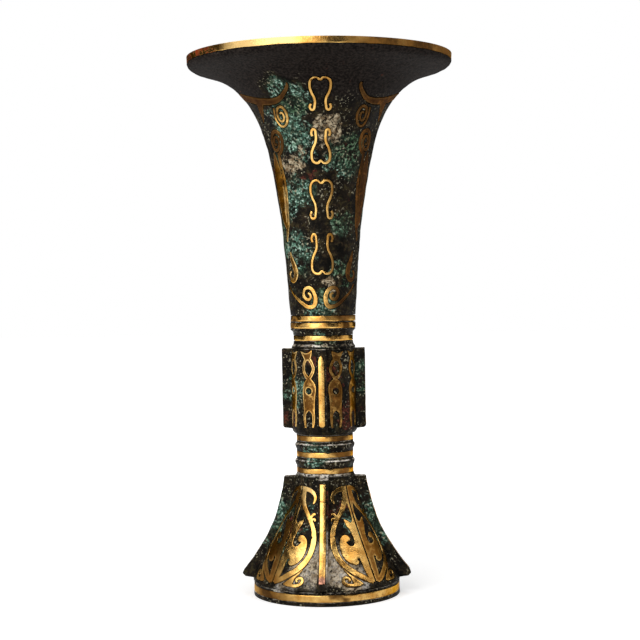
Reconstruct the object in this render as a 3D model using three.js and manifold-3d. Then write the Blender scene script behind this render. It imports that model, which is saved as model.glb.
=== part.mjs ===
// A gold-inlaid bronze gu: a slender wine vase with a trumpet mouth, a flanged knop and a flanged bell foot.
// Millimetres, +Z up, origin at the centre of the foot's underside, front flange towards -Y.
// Three bronze castings sit on one another by spigot and socket, and each gold inlay lies in its own recess.
import * as THREE from 'three';
import { mergeVertices } from 'three/addons/utils/BufferGeometryUtils.js';
import Module from 'manifold-3d';

const wasm = await Module();
wasm.setup();

// Heights, stacked from the table up
const footRingHeight = 7.6;
const bellHeight = 58.4;
const ringedNeckHeight = 23.6;
const knopHeight = 47.6;
const upperNeckHeight = 10.3;
const mouthHeight = 151.9;

// Radii
const footRingRadius = 41;
const bellTopRadius = 17;
const bellFootRadius = 41.5;
const neckRadius = 16.1;
const knopRadius = 18.4;
const recessRadius = 16.9;
const collarRadius = 18.4;
const kneeRadius = 29.2;
const rimRadius = 73.8;

// Castings
const wall = 2.8;
const lipWall = 4.2;
const rimLand = 2.4;
const neckBore = 12;
const cupBore = 13.2;
const floorThickness = 3;
const floorAboveKnopBase = 12;
const spigotLength = 8.5;
const spigotWall = 2.3;
const fitGap = 0.3;

// Flanges: four on the knop and four on the bell, at the front, right, back and left
const flangeCount = 4;
const flangeWidth = 5.6;
const knopFlangeRadius = 23.4;
const bellFlangeTopRadius = 23.5;
const bellFlangeFootRadius = 47.6;

// Gold inlay: sheet thickness, strip width, band heights, and the gap round each piece in its recess
const goldThickness = 0.8;
const goldGap = 0.3;
const bedGap = 0.6;
const stripWidth = 3.3;
const rimBandHeight = 3.5;
const collarBandHeight = 2.9;
const collarBandSpacing = 3.9;
const recessBandHeight = 2.6;
const neckBandHeight = 2.7;
const neckBandSpacing = 9;
const footBandHeight = 3.7;
const ridgeHeight = 0.7;

// Levels that follow from the stack
const bellTop = footRingHeight + bellHeight;
const neckTop = bellTop + ringedNeckHeight;
const knopBase = neckTop + fitGap;
const knopTop = knopBase + knopHeight;
const mouthBase = knopTop + fitGap;
const collarBase = mouthBase + upperNeckHeight;
const rimTop = collarBase + mouthHeight;
const bellEdge = footRingHeight + 1;
const cupFloor = knopBase + floorAboveKnopBase + floorThickness;

// Facets round every turned surface; a multiple of eight puts a facet corner on each quadrant's middle
const sides = 24;
const quarter = Math.PI / 2;
const eighth = Math.PI / 4;
const degree = Math.PI / 180;
const flatScale = 30;

const bronzeColour = 0x2b2f29;
const goldColour = 0xd6a24a;

const point = (radius, z) => new THREE.Vector2(radius, z);

// A curve from one profile point to another; each handle is a share of the step in radius and height
function bend(from, to, handleOut, handleIn, steps) {
  const step = to.clone().sub(from);
  const first = from.clone().add(step.clone().multiply(handleOut));
  const second = to.clone().sub(step.clone().multiply(handleIn));
  return new THREE.CubicBezierCurve(from, first, second, to).getPoints(steps);
}

function solidOf(geometry) {
  const bare = geometry.clone();
  bare.deleteAttribute('normal');
  bare.deleteAttribute('uv');
  const merged = mergeVertices(bare, 1e-4);
  const mesh = new wasm.Mesh({
    numProp: 3,
    vertProperties: new Float32Array(merged.attributes.position.array),
    triVerts: new Uint32Array(merged.index.array),
  });
  return new wasm.Manifold(mesh);
}

function geometryOf(solid) {
  const mesh = solid.getMesh();
  const geometry = new THREE.BufferGeometry();
  geometry.setAttribute('position', new THREE.BufferAttribute(mesh.vertProperties, 3));
  geometry.setIndex(new THREE.BufferAttribute(mesh.triVerts, 1));
  geometry.computeVertexNormals();
  return geometry;
}

// A solid turned round the vase's axis from a closed profile that runs up its outside and down its inside
function turned(profile) {
  const closed = [...profile, profile[0]];
  return solidOf(new THREE.LatheGeometry(closed, sides).rotateX(quarter));
}

// A wall is the part of a profile that carries inlay, from its lower end to its upper end
class Wall {
  constructor(profile) {
    this.profile = profile;
    this.normals = profile.map((_, i) => {
      const before = profile[Math.max(i - 1, 0)];
      const after = profile[Math.min(i + 1, profile.length - 1)];
      const along = after.clone().sub(before).normalize();
      return point(along.y, -along.x);
    });
  }

  // The wall's point, its outward normal and its length for each millimetre of height
  at(z) {
    const last = this.profile.length - 2;
    const above = this.profile.findIndex((p, i) => i > 0 && z <= p.y);
    const i = above < 0 ? last : above - 1;
    const low = this.profile[i];
    const high = this.profile[i + 1];
    const share = (z - low.y) / (high.y - low.y);
    return {
      radius: low.x + share * (high.x - low.x),
      normal: this.normals[i].clone().lerp(this.normals[i + 1], share).normalize(),
      stretch: low.distanceTo(high) / (high.y - low.y),
    };
  }

  // The profile moved out by a distance, square to the wall
  offset(distance) {
    return this.profile.map((p, i) => p.clone().addScaledVector(this.normals[i], distance));
  }
}

// The way along the wall, in millimetres, from one station to another
function heading(surface, from, to) {
  const { radius, stretch } = surface.at(from[1]);
  return point((to[0] - from[0]) * radius, (to[1] - from[1]) * stretch).normalize();
}

// A tapering stroke as a flat strip of turn and height, one thick. A station is [turn, height, width] with its
// width measured along the wall. Corners are mitred, and grow widens and lengthens the stroke all round.
function flatStroke(surface, stations, grow) {
  const last = stations.length - 1;
  const longestMitre = 1.6;
  const geometry = new THREE.BoxGeometry(last, 1, 1, last, 1, 1);
  const position = geometry.attributes.position;
  for (let i = 0; i < position.count; i++) {
    const index = Math.round(position.getX(i) + last / 2);
    const [turn, z, width] = stations[index];
    const { radius, stretch } = surface.at(z);
    const arriving = heading(surface, stations[Math.max(index - 1, 0)], stations[Math.max(index, 1)]);
    const leaving = heading(surface, stations[Math.min(index, last - 1)], stations[Math.min(index + 1, last)]);
    const sum = arriving.clone().add(leaving);
    const mitre = Math.min(2 / sum.length(), longestMitre);
    const along = sum.normalize();
    const across = Math.sign(position.getY(i)) * (width / 2 + grow) * mitre;
    const push = index === 0 ? -grow : index === last ? grow : 0;
    const edgeTurn = turn + (along.x * push - along.y * across) / radius;
    const edgeZ = z + (along.y * push + along.x * across) / stretch;
    position.setXY(i, edgeTurn * flatScale, edgeZ);
  }
  return solidOf(geometry);
}

// Flat solids wrapped on a wall, standing out of it by one distance and sunk into it by another
function wrapped(surface, flat, out, sink) {
  const geometry = geometryOf(flat);
  const position = geometry.attributes.position;
  for (let i = 0; i < position.count; i++) {
    const turn = position.getX(i) / flatScale;
    const lift = position.getZ(i) > 0 ? out : -sink;
    const { radius, normal } = surface.at(position.getY(i));
    const reach = radius + normal.x * lift;
    const z = position.getY(i) + normal.y * lift;
    position.setXYZ(i, reach * Math.sin(turn), -reach * Math.cos(turn), z);
  }
  return solidOf(geometry);
}

// All strokes of one motif, joined flat and then wrapped on its wall
function motifSolid(surface, strokes, { grow, out, sink }) {
  const flat = strokes.map((stations) => flatStroke(surface, stations, grow));
  return wrapped(surface, flat.reduce((whole, next) => whole.add(next)), out, sink);
}

const mirrored = (strokes) => strokes.map((stations) => stations.map(([turn, z, width]) => [-turn, z, width]));
const turnedBy = (strokes, angle) =>
  strokes.map((stations) => stations.map(([turn, z, width]) => [turn + angle, z, width]));

const voluteSteps = 6.5;

// Stations of a volute that winds inwards from its outer end, in millimetres round its own centre
function volute(reach, core, turns, start, hand, widths) {
  const steps = Math.round(turns * voluteSteps);
  return Array.from({ length: steps + 1 }, (_, i) => {
    const share = i / steps;
    const angle = start + hand * share * turns * 2 * Math.PI;
    const radius = reach + (core - reach) * share;
    const width = widths[0] + (widths[1] - widths[0]) * share;
    return [radius * Math.cos(angle), radius * Math.sin(angle), width];
  });
}

// Stations in millimetres round a centre, laid on a wall at a height
function laidAt(surface, stations, height, wide, tall) {
  return stations.map(([x, y, width]) => {
    const z = height + (y * tall) / surface.at(height).stretch;
    return [(x * wide) / surface.at(z).radius, z, width];
  });
}

const pieces = [];

function addPiece(name, solid, colour, roughness, metalness) {
  const material = new THREE.MeshStandardMaterial({ color: colour, roughness, metalness });
  const mesh = new THREE.Mesh(geometryOf(solid), material);
  mesh.name = name;
  pieces.push(mesh);
}

const addBronze = (name, solid) => addPiece(name, solid, bronzeColour, 0.55, 0.7);
const addGold = (name, solid) => addPiece(name, solid, goldColour, 0.3, 1);

// Recesses waiting to be cut from one casting, and the inlays that lie in them
class InlaidCasting {
  constructor(solid) {
    this.solid = solid;
  }

  // Lays one motif in a wall and cuts its recess
  lay(name, surface, strokes) {
    const recess = motifSolid(surface, strokes, { grow: goldGap, out: 1, sink: goldThickness + bedGap });
    this.solid = this.solid.subtract(recess);
    addGold(name, motifSolid(surface, strokes, { grow: 0, out: 0, sink: goldThickness }));
  }
}

// The profile of a groove for a gold band, and the band itself, on a wall of one radius
function grooveProfile(radius, base, bandHeight) {
  const bottom = radius - goldThickness - goldGap;
  return [
    point(radius, base - goldGap),
    point(bottom, base - goldGap),
    point(bottom, base + bandHeight + goldGap),
    point(radius, base + bandHeight + goldGap),
  ];
}

function addBand(name, radius, base, bandHeight) {
  addGold(name, turned([
    point(radius, base),
    point(radius, base + bandHeight),
    point(radius - goldThickness, base + bandHeight),
    point(radius - goldThickness, base),
  ]));
}

// A plate that stands on edge in the plane of +X and Z, from an outline of radius and height
function plate(outline, width) {
  const geometry = new THREE.ExtrudeGeometry(new THREE.Shape(outline), { depth: width, bevelEnabled: false });
  return geometry.translate(0, 0, -width / 2).rotateX(quarter);
}

const compass = ['front', 'right', 'back', 'left'];

// Copies of a geometry that faces +X, turned to each flange's place
const roundFlanges = (geometry) =>
  compass.map((_, i) => solidOf(geometry.clone().rotateZ((i - 1) * quarter)));

// Trumpet: the outer wall rises from the collar in two bends
const collarBands = [0, 1].map((i) => collarBase + 0.8 + i * collarBandSpacing);
const neckWallBase = collarBands[1] + collarBandHeight + goldGap;
const rimBandBase = rimTop - rimBandHeight;
const rimUnderside = rimBandBase - goldGap;
const knee = point(kneeRadius, collarBase + mouthHeight * 0.644);
const mouthProfile = [
  ...bend(point(collarRadius, neckWallBase), knee, point(0.275, 0.472), point(0.623, 0.338), 4),
  ...bend(knee, point(rimRadius, rimUnderside), point(0.2425, 1.04), point(0.009, 0.1766), 6).slice(1),
];
const mouthWall = new Wall(mouthProfile);

function mouthCasting() {
  const lipPoints = 2;
  const inner = mouthProfile.slice(0, -lipPoints).map((p, i, all) => {
    const share = i / (all.length - 1);
    const thickness = wall + (lipWall - wall) * share * share;
    return mouthWall.offset(-thickness)[i];
  });
  const bandSeat = rimRadius - goldThickness - goldGap;
  const recessBand = mouthBase + 4.2;
  const spigotRadius = cupBore + spigotWall;
  return new InlaidCasting(turned([
    point(spigotRadius, mouthBase - spigotLength),
    point(spigotRadius, mouthBase),
    point(recessRadius + 1.1, mouthBase),
    point(recessRadius, mouthBase + 1.6),
    ...grooveProfile(recessRadius, recessBand, recessBandHeight),
    point(recessRadius, collarBase - 1.2),
    point(collarRadius, collarBase),
    ...collarBands.flatMap((base) => grooveProfile(collarRadius, base, collarBandHeight)).slice(0, -1),
    ...mouthProfile,
    point(bandSeat, rimUnderside),
    point(bandSeat, rimTop),
    point(bandSeat - rimLand, rimTop),
    ...inner.reverse(),
    point(cupBore, collarBase),
    point(cupBore, mouthBase - spigotLength),
  ]));
}

// One side's ornament on the trumpet, drawn from its own centre line towards the front.
// Turns are in degrees from the side and heights are shares of the mouth's height.
const onMouth = (stations) =>
  stations.map(([turn, up, width]) => [turn * degree, collarBase + up * mouthHeight, width]);
const cloudArc = onMouth([
  [71, 0.868, 1.2], [64, 0.833, 2.6], [50, 0.819, 3.4], [34, 0.826, 4], [17, 0.845, 5], [0, 0.855, 5.6],
]);
const cloudSpike = onMouth([[37, 0.824, 7], [27, 0.765, 0.8]]);
const longStem = onMouth([[39, 0.645, 1.7], [45, 0.59, 1.8], [46, 0.53, 1.8], [41, 0.39, 1.9], [35, 0.31, 1.2]]);
const longBlade = onMouth([[40, 0.635, 1.7], [26, 0.53, 4.6], [26, 0.43, 4], [38, 0.355, 1.6]]);
const leafCurl = onMouth([[43, 0.282, 0.7], [40, 0.235, 4.2], [45, 0.2, 4.2], [51, 0.178, 0.9]]);
const lowTail = onMouth([[25, 0.175, 1], [32, 0.12, 1.6], [47, 0.085, 1.9]]);

function sideVolute(turnDegrees, up, stations, wide, tall) {
  const height = collarBase + up * mouthHeight;
  return laidAt(mouthWall, stations, height, wide, tall)
    .map(([turn, z, width]) => [turn + turnDegrees * degree, z, width]);
}

const upperVolute = sideVolute(56, 0.77, volute(5.2, 1.3, 1.4, -2.4, 1, [1.5, 1.2]), 1, 1.1);
const lowerVolute = sideVolute(43, 0.687, volute(6.4, 1.5, 1.5, -1.9, 1, [1.7, 1.3]), 0.95, 1.15);
const lowVolute = sideVolute(70, 0.119, volute(5.2, 1.4, 1.25, -1.75, 1, [2, 1.4]), 0.9, 1.1);

// How far round the vase, in degrees, each ornament was laid past its own side's centre line
const drift = {
  right: { cloud: 14, upper_volute: 12, long_stem: 13, leaf_curl: 6, low_volute: 0 },
  left: { cloud: 0, upper_volute: 0, long_stem: -3, leaf_curl: -1, low_volute: 0 },
};

function addSideOrnament(casting) {
  for (const [side, angle] of [['right', quarter], ['left', -quarter]]) {
    const cloud = [cloudArc, cloudSpike];
    const reversedArc = mirrored([cloudArc])[0];
    casting.lay(`cloud_${side}`, mouthWall, turnedBy([
      [...reversedArc.slice(0, -1), ...[...cloudArc].reverse()],
      cloud[1],
      mirrored(cloud)[1],
    ], angle + drift[side].cloud * degree));
    for (const [face, hand] of [['front', -1], ['back', 1]]) {
      const facing = hand * Math.sign(angle);
      const lay = (name, strokes) => {
        const drawn = facing > 0 ? strokes : mirrored(strokes);
        casting.lay(`${name}_${side}_${face}`, mouthWall, turnedBy(drawn, angle + drift[side][name] * degree));
      };
      lay('upper_volute', [upperVolute]);
      lay('long_stem', [lowerVolute, longStem, longBlade]);
      lay('leaf_curl', [leafCurl]);
      lay('low_volute', [[...lowTail, ...lowVolute]]);
    }
  }
}

// Four small paired scrolls in a column up the front of the neck, each a curling stroke and its mirror image.
// Stations are shares of half width and of height, drawn from where the two strokes meet.
const columnTurn = 4 * degree;
const columnStroke = 1.4;
const lyre = [[0, 0.12], [0.55, 0.04], [0.92, 0.22], [0.72, 0.55], [0.62, 0.75], [0.78, 0.95], [0.4, 0.93]];
const heart = lyre.map(([across, up]) => [across, 1 - up]);
const columnFigures = [
  { base: 0.2, tall: 0.152, half: 6, stations: lyre },
  { base: 0.395, tall: 0.145, half: 6.2, stations: heart },
  { base: 0.595, tall: 0.125, half: 5.2, stations: lyre },
  { base: 0.775, tall: 0.11, half: 5.8, stations: heart },
];

function columnStrokes({ base, tall, half, stations }) {
  const placed = stations.map(([across, up]) => {
    const z = collarBase + (base + tall * up) * mouthHeight;
    return [(across * half) / mouthWall.at(z).radius, z, columnStroke];
  });
  return turnedBy([placed, ...mirrored([placed])], columnTurn);
}

const mouth = mouthCasting();
addSideOrnament(mouth);
columnFigures.forEach((figure, i) => mouth.lay(`column_scroll_${i + 1}`, mouthWall, columnStrokes(figure)));
addBronze('mouth_casting', mouth.solid);
addBand('rim_band', rimRadius, rimBandBase, rimBandHeight);
addBand('recess_band', recessRadius, mouthBase + 4.2, recessBandHeight);
collarBands.forEach((base, i) => addBand(`collar_band_${i + 1}`, collarRadius, base, collarBandHeight));

// A quadrant's panel runs from its middle line to the flange on either side
const panelMargin = 0.4;
const acrossPanel = (surface, share, z) =>
  share * (eighth - (flangeWidth / 2 + panelMargin) / surface.at(z).radius);

const inPanel = (surface, base, tall, stations) => stations.map(([across, up, width]) => {
  const z = base + up * tall;
  return [acrossPanel(surface, across, z), z, width];
});

function addQuadrantPairs(casting, name, surface, strokes) {
  for (let i = 0; i < flangeCount; i++) {
    const middle = eighth + i * quarter;
    const next = compass[(i + 1) % flangeCount];
    casting.lay(`${name}_${compass[i]}_${next}_a`, surface, turnedBy(mirrored(strokes), middle));
    casting.lay(`${name}_${compass[i]}_${next}_b`, surface, turnedBy(strokes, middle));
  }
}

// Knop: a drum with a rounded foot, a socket at each end and the cup's floor between them
const knopShoulder = 2.6;
const knopWall = new Wall([point(knopRadius, knopBase + knopShoulder), point(knopRadius, knopTop)]);

function knopCasting() {
  const socketAbove = cupBore + spigotWall + fitGap;
  const socketBelow = neckBore + spigotWall + fitGap;
  const body = turned([
    point(neckRadius, knopBase),
    point(knopRadius, knopBase + knopShoulder),
    point(knopRadius, knopTop),
    point(socketAbove, knopTop),
    point(socketAbove, knopTop - spigotLength),
    point(cupBore, knopTop - spigotLength),
    point(cupBore, cupFloor + 2),
    point(cupBore - 3, cupFloor),
    point(0, cupFloor),
    point(0, cupFloor - floorThickness),
    point(neckBore, cupFloor - floorThickness),
    point(neckBore, knopBase + spigotLength + fitGap),
    point(socketBelow, knopBase + spigotLength + fitGap),
    point(socketBelow, knopBase),
  ]);
  const root = knopRadius - 0.8;
  const corner = 0.6;
  const fin = plate([
    point(root, knopBase + knopShoulder),
    point(knopFlangeRadius - 1, knopBase + knopShoulder + 0.4),
    point(knopFlangeRadius, knopBase + knopShoulder + 1.2),
    point(knopFlangeRadius, knopTop - corner),
    point(knopFlangeRadius - corner, knopTop),
    point(root, knopTop),
  ], flangeWidth);
  return new InlaidCasting(roundFlanges(fin).reduce((whole, next) => whole.add(next), body));
}

// The knop's scroll: a crown, two crossing loops and two long legs, in shares of half a panel
const onKnop = (stations) => inPanel(knopWall, knopBase + knopShoulder, knopHeight - knopShoulder, stations);
const knopScroll = [
  onKnop([[0.44, 0.965, 6.2], [0.5, 0.865, 2.6]]),
  onKnop([[0.46, 0.88, 1.5], [0.28, 0.77, 1.4], [0.46, 0.665, 1.5], [0.8, 0.58, 1.4], [0.82, 0.45, 1.6]]),
  onKnop([[0.54, 0.88, 1.5], [0.8, 0.77, 1.4], [0.7, 0.665, 1.5], [0.34, 0.58, 1.4], [0.31, 0.45, 1.6]]),
  onKnop([[0.56, 0.462, 6.4], [0.55, 0.25, 6]]),
  onKnop([[0.38, 0.27, 2], [0.34, 0.04, 1.2]]),
  onKnop([[0.74, 0.27, 2], [0.8, 0.04, 1.2]]),
];

// Straight gold strips let into the crests of the knop's flanges, pointed at the top
function addKnopStrips(casting) {
  const low = knopBase + knopShoulder + 2.4;
  const high = knopTop - 3.4;
  const taper = 2;
  const stripSolid = (grow, outer, depth) => {
    const half = stripWidth / 2 + grow;
    const outline = [
      point(-half, low - grow), point(half, low - grow), point(half, high - taper),
      point(0, high + grow), point(-half, high - taper),
    ];
    const geometry = new THREE.ExtrudeGeometry(new THREE.Shape(outline), { depth, bevelEnabled: false });
    return geometry.rotateX(quarter).rotateZ(quarter).translate(outer - depth, 0, 0);
  };
  const recess = stripSolid(goldGap, knopFlangeRadius + 1, goldThickness + goldGap + 1);
  const strip = stripSolid(0, knopFlangeRadius, goldThickness);
  roundFlanges(recess).forEach((cut) => { casting.solid = casting.solid.subtract(cut); });
  roundFlanges(strip).forEach((gold, i) => addGold(`knop_strip_${compass[i]}`, gold));
}

const knop = knopCasting();
addQuadrantPairs(knop, 'knop_scroll', knopWall, knopScroll);
addKnopStrips(knop);
addBronze('knop_casting', knop.solid);

// Foot: foot ring, undercut, bell and ringed neck
const bellProfile = bend(
  point(bellTopRadius, bellTop), point(bellFootRadius, bellEdge), point(-0.0355, 0.205), point(0.454, 0.389), 5,
).reverse();
const bellWall = new Wall(bellProfile);
const crestEnd = 2.4;
const crest = bend(
  point(bellFlangeTopRadius, bellTop - crestEnd), point(bellFlangeFootRadius - 1, bellEdge + 2 * crestEnd),
  point(0.136, 0.352), point(0.664, 0.3745), 6,
).reverse();
const crestWall = new Wall(crest);
const neckBands = [0, 1, 2].map((i) => bellTop + 2.3 + i * neckBandSpacing);
const footBandBase = 2.4;

function footCasting() {
  const spigotRadius = neckBore + spigotWall;
  const undercut = footRingRadius - 1.2;
  const ridge = (band) => {
    const middle = band + (neckBandSpacing + neckBandHeight) / 2;
    return [
      point(neckRadius, middle - 1.6),
      point(neckRadius + ridgeHeight, middle),
      point(neckRadius, middle + 1.6),
    ];
  };
  const inner = new Wall(bellProfile).offset(-wall).filter((p) => p.x > neckBore && p.y > footRingHeight + 2);
  const body = turned([
    point(footRingRadius, 0),
    ...grooveProfile(footRingRadius, footBandBase, footBandHeight),
    point(footRingRadius, footRingHeight - 0.4),
    point(undercut, footRingHeight),
    ...bellProfile,
    ...neckBands.flatMap((band, i) => {
      const groove = grooveProfile(neckRadius, band, neckBandHeight);
      return i < neckBands.length - 1 ? [...groove, ...ridge(band)] : groove;
    }),
    point(neckRadius, neckTop),
    point(spigotRadius, neckTop),
    point(spigotRadius, neckTop + spigotLength),
    point(neckBore, neckTop + spigotLength),
    point(neckBore, bellTop - 8),
    ...inner.reverse(),
    point(footRingRadius - wall - 0.6, footRingHeight),
    point(footRingRadius - wall - 0.6, 0),
  ]);
  const inward = bellWall.offset(-wall / 2);
  const fin = plate([
    ...inward,
    point(bellFlangeTopRadius - 0.8, bellTop),
    point(bellFlangeTopRadius - 0.1, bellTop - 0.8),
    ...[...crest].reverse(),
    point(bellFlangeFootRadius, bellEdge + crestEnd),
    point(bellFlangeFootRadius - 1.6, bellEdge + 0.8),
    point(bellFootRadius, bellEdge),
  ], flangeWidth);
  return new InlaidCasting(roundFlanges(fin).reduce((whole, next) => whole.add(next), body));
}

// The bell's scroll, in shares of half a panel: a band that hooks over at the top, sweeps out to the flange
// and back and climbs the quadrant's middle line to a blade, then a curled leaf and a hook at the bottom
const onBell = (stations) => inPanel(bellWall, bellEdge, bellTop - bellEdge, stations);
const bellScroll = [
  onBell([[0.86, 0.78, 1.3], [0.74, 0.885, 2.4], [0.3, 0.91, 2.6], [0.2, 0.81, 2.6], [0.56, 0.68, 2.2],
    [0.85, 0.53, 2.8], [0.84, 0.34, 3], [0.57, 0.18, 3], [0.23, 0.08, 2.4], [0.07, 0.12, 2],
    [0.08, 0.3, 2.2], [0.14, 0.46, 2.2], [0.4, 0.58, 0.8]]),
  onBell([[0.42, 0.475, 1.2], [0.6, 0.42, 3.6], [0.47, 0.32, 8], [0.08, 0.27, 6]]),
  onBell([[0.3, 0.1, 2.2], [0.52, 0.055, 2.4], [0.72, 0.062, 1.7], [0.67, 0.105, 1.2]]),
];

// A profile drawn out at both ends
function longer(profile, by) {
  const [first, second] = profile;
  const [last, previous] = [...profile].reverse();
  const before = first.clone().add(first.clone().sub(second).setLength(by));
  const after = last.clone().add(last.clone().sub(previous).setLength(by));
  return [before, ...profile.slice(1, -1), after];
}

// Curved gold strips let into the crests of the bell's flanges
function addBellStrips(casting) {
  const strip = plate([...crest, ...crestWall.offset(-goldThickness).reverse()], stripWidth);
  const slot = longer(crestWall.offset(-goldThickness - goldGap), goldGap);
  const recess = plate([...longer(crestWall.offset(1), goldGap), ...slot.reverse()], stripWidth + 2 * goldGap);
  roundFlanges(recess).forEach((cut) => { casting.solid = casting.solid.subtract(cut); });
  roundFlanges(strip).forEach((gold, i) => addGold(`bell_strip_${compass[i]}`, gold));
}

const foot = footCasting();
addQuadrantPairs(foot, 'bell_scroll', bellWall, bellScroll);
addBellStrips(foot);
addBronze('foot_casting', foot.solid);
neckBands.forEach((base, i) => addBand(`neck_band_${i + 1}`, neckRadius, base, neckBandHeight));
addBand('foot_band', footRingRadius, footBandBase, footBandHeight);

const vase = new THREE.Group();
vase.add(...pieces);
export default vase;
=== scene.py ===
"""A gold-inlaid bronze gu: three castings, the gold let into them, and the studio they stand in.

Sizes are in millimetres and become metres where a mesh is made. A profile point is (radius, height)."""
import math
from contextlib import contextmanager

import bpy
from mathutils import Matrix, Vector, kdtree, noise
from mathutils.geometry import interpolate_bezier


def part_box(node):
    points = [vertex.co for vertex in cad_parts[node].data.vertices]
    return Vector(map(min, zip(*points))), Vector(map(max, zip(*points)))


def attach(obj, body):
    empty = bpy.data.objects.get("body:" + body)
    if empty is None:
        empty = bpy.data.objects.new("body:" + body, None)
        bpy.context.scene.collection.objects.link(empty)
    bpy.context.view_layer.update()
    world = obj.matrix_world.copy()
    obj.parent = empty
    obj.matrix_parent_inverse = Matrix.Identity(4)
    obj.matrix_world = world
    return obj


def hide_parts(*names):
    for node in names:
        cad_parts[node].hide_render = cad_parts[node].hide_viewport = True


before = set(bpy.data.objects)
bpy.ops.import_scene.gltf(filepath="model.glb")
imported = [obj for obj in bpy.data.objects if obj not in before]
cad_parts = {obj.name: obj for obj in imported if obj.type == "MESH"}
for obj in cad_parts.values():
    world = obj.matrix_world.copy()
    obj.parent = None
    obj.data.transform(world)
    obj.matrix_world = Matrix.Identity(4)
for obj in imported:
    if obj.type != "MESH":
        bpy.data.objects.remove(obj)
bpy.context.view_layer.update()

MM = 0.001
TURN_STEPS = 192
QUARTER = math.pi / 2
EIGHTH = math.pi / 4
SIDES = ["front", "right", "back", "left"]

# Castings
SPIGOT_LENGTH = 8.5
SPIGOT_WALL = 2.3
CUP_BORE = 13.2
NECK_BORE = 12
WALL_THICKNESS = 2.8
LIP_THICKNESS = 4.2
RIM_LAND = 2.4
CUP_FLOOR = 104.9
FLOOR_THICKNESS = 3
BELL_TOP = 66
BELL_TOP_RADIUS = 17
BELL_EDGE = 8.6
BELL_EDGE_RADIUS = 41.5
FLANGE_WIDTH = 5.6
FIT_GAP = 0.3

# Gold
GOLD_THICKNESS = 0.8
GOLD_EDGE = 0.3
GOLD_PROUD = 0.12
GROOVE_GAP = 0.37
GROOVE_DEPTH = 1.3
STRIP_WIDTH = 3.3

# Unevenness, in millimetres of depth and in waves to the metre. It fades out towards both ends of the vase.
DENT_DEPTH = 0.45
EDGE_WANDER = 0.22
BROAD_WAVES = 60
FINE_WAVES = 240
HELD_ENDS = 3
WANDER_START = Vector((7, 3, 5))

# Finish of the meshes
SHARP_ANGLE = math.radians(40)
SMOOTH_ANGLE = math.radians(35)
BEVEL_STEPS = 2
CURVE_STEPS = 6
SPIRAL_STEPS = 10
MAP_STEP = math.radians(1.6)
RECESS_STEP = math.radians(3)
RUBBED_EDGE = (0.2, 0.55)


def ring_of(node):
    """The outer radius, lower edge and upper edge of a turned node of the frame."""
    low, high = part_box(node)
    return high.x / MM, low.z / MM, high.z / MM


RIM_RADIUS, RIM_BAND_BASE, RIM_TOP = ring_of("rim_band")
COLLAR_RADIUS, COLLAR_LOW, COLLAR_FIRST_TOP = ring_of("collar_band_1")
_, COLLAR_SECOND, COLLAR_HIGH = ring_of("collar_band_2")
RECESS_RADIUS, RECESS_LOW, RECESS_HIGH = ring_of("recess_band")
NECK_RADIUS = ring_of("neck_band_1")[0]
NECK_BANDS = [ring_of(f"neck_band_{i}")[1:] for i in (1, 2, 3)]
FOOT_RADIUS, FOOT_BAND_LOW, FOOT_BAND_HIGH = ring_of("foot_band")
KNOP_FLANGE_RADIUS, KNOP_BASE, KNOP_TOP = ring_of("knop_casting")
MOUTH_BASE = KNOP_TOP + FIT_GAP
NECK_TOP = KNOP_BASE - FIT_GAP
KNOP_RADIUS = 18.4


# Making tools


def only(piece):
    """Leaves one piece selected and active."""
    bpy.ops.object.select_all(action="DESELECT")
    piece.select_set(True)
    bpy.context.view_layer.objects.active = piece


def added(add, **settings):
    """What an adding operator makes, with nothing else selected."""
    bpy.ops.object.select_all(action="DESELECT")
    add(**settings)
    return bpy.context.object


@contextmanager
def editing():
    """Edit mode on the active piece, with all of it selected at the start."""
    bpy.ops.object.mode_set(mode="EDIT")
    bpy.ops.mesh.select_all(action="SELECT")
    yield
    bpy.ops.object.mode_set(mode="OBJECT")


def apply_modifier(piece, kind, **settings):
    only(piece)
    modifier = piece.modifiers.new("work", kind)
    for name, value in settings.items():
        setattr(modifier, name, value)
    bpy.ops.object.modifier_apply(modifier=modifier.name)


def combine(piece, tool, operation):
    apply_modifier(piece, "BOOLEAN", object=tool, operation=operation, solver="MANIFOLD")
    bpy.data.objects.remove(tool)


def joined(pieces):
    """One object from several, with no boolean."""
    only(pieces[0])
    for piece in pieces:
        piece.select_set(True)
    bpy.ops.object.join()
    return bpy.context.object


def soften(piece, width):
    """Bevels the sharp edges of a piece."""
    apply_modifier(piece, "BEVEL", width=width * MM, segments=BEVEL_STEPS, limit_method="ANGLE",
                   angle_limit=SHARP_ANGLE)


def weather(piece):
    """Gives a piece the unevenness of a cast and buried surface. Pieces that touch move together, and only
    inwards from the vase's outline."""
    for vertex in piece.data.vertices:
        place = vertex.co
        hold = max(0.0, min(1.0, place.z / HELD_ENDS / MM, (RIM_TOP - place.z / MM) / HELD_ENDS))
        waves = 1.1 * noise.noise(place * BROAD_WAVES) + 0.9 * noise.noise(place * FINE_WAVES)
        inward = (0.5 + 0.5 * max(-1, min(1, waves))) * DENT_DEPTH * MM * hold
        across = Vector((place.x, place.y, 0))
        if across.length > NECK_BORE * MM:
            place -= across.normalized() * inward
        place.z += noise.noise(place * FINE_WAVES + WANDER_START) * EDGE_WANDER * MM * hold


def add_piece(piece, node, finish):
    """Gives a finished mesh its material, its unevenness and its place in the frame."""
    piece.data.materials.clear()
    piece.data.materials.append(FINISHES[finish])
    weather(piece)
    only(piece)
    bpy.ops.object.shade_smooth_by_angle(angle=SMOOTH_ANGLE)
    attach(piece, "root")
    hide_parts(node)


def outline_loop(name, outline):
    """A closed loop of edges through (radius, height) points, in the plane of X and Z."""
    loop = added(bpy.ops.mesh.primitive_circle_add, vertices=len(outline))
    loop.name = name
    for vertex, (radius, z) in zip(loop.data.vertices, outline):
        vertex.co = (radius * MM, 0, z * MM)
    return loop


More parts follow.
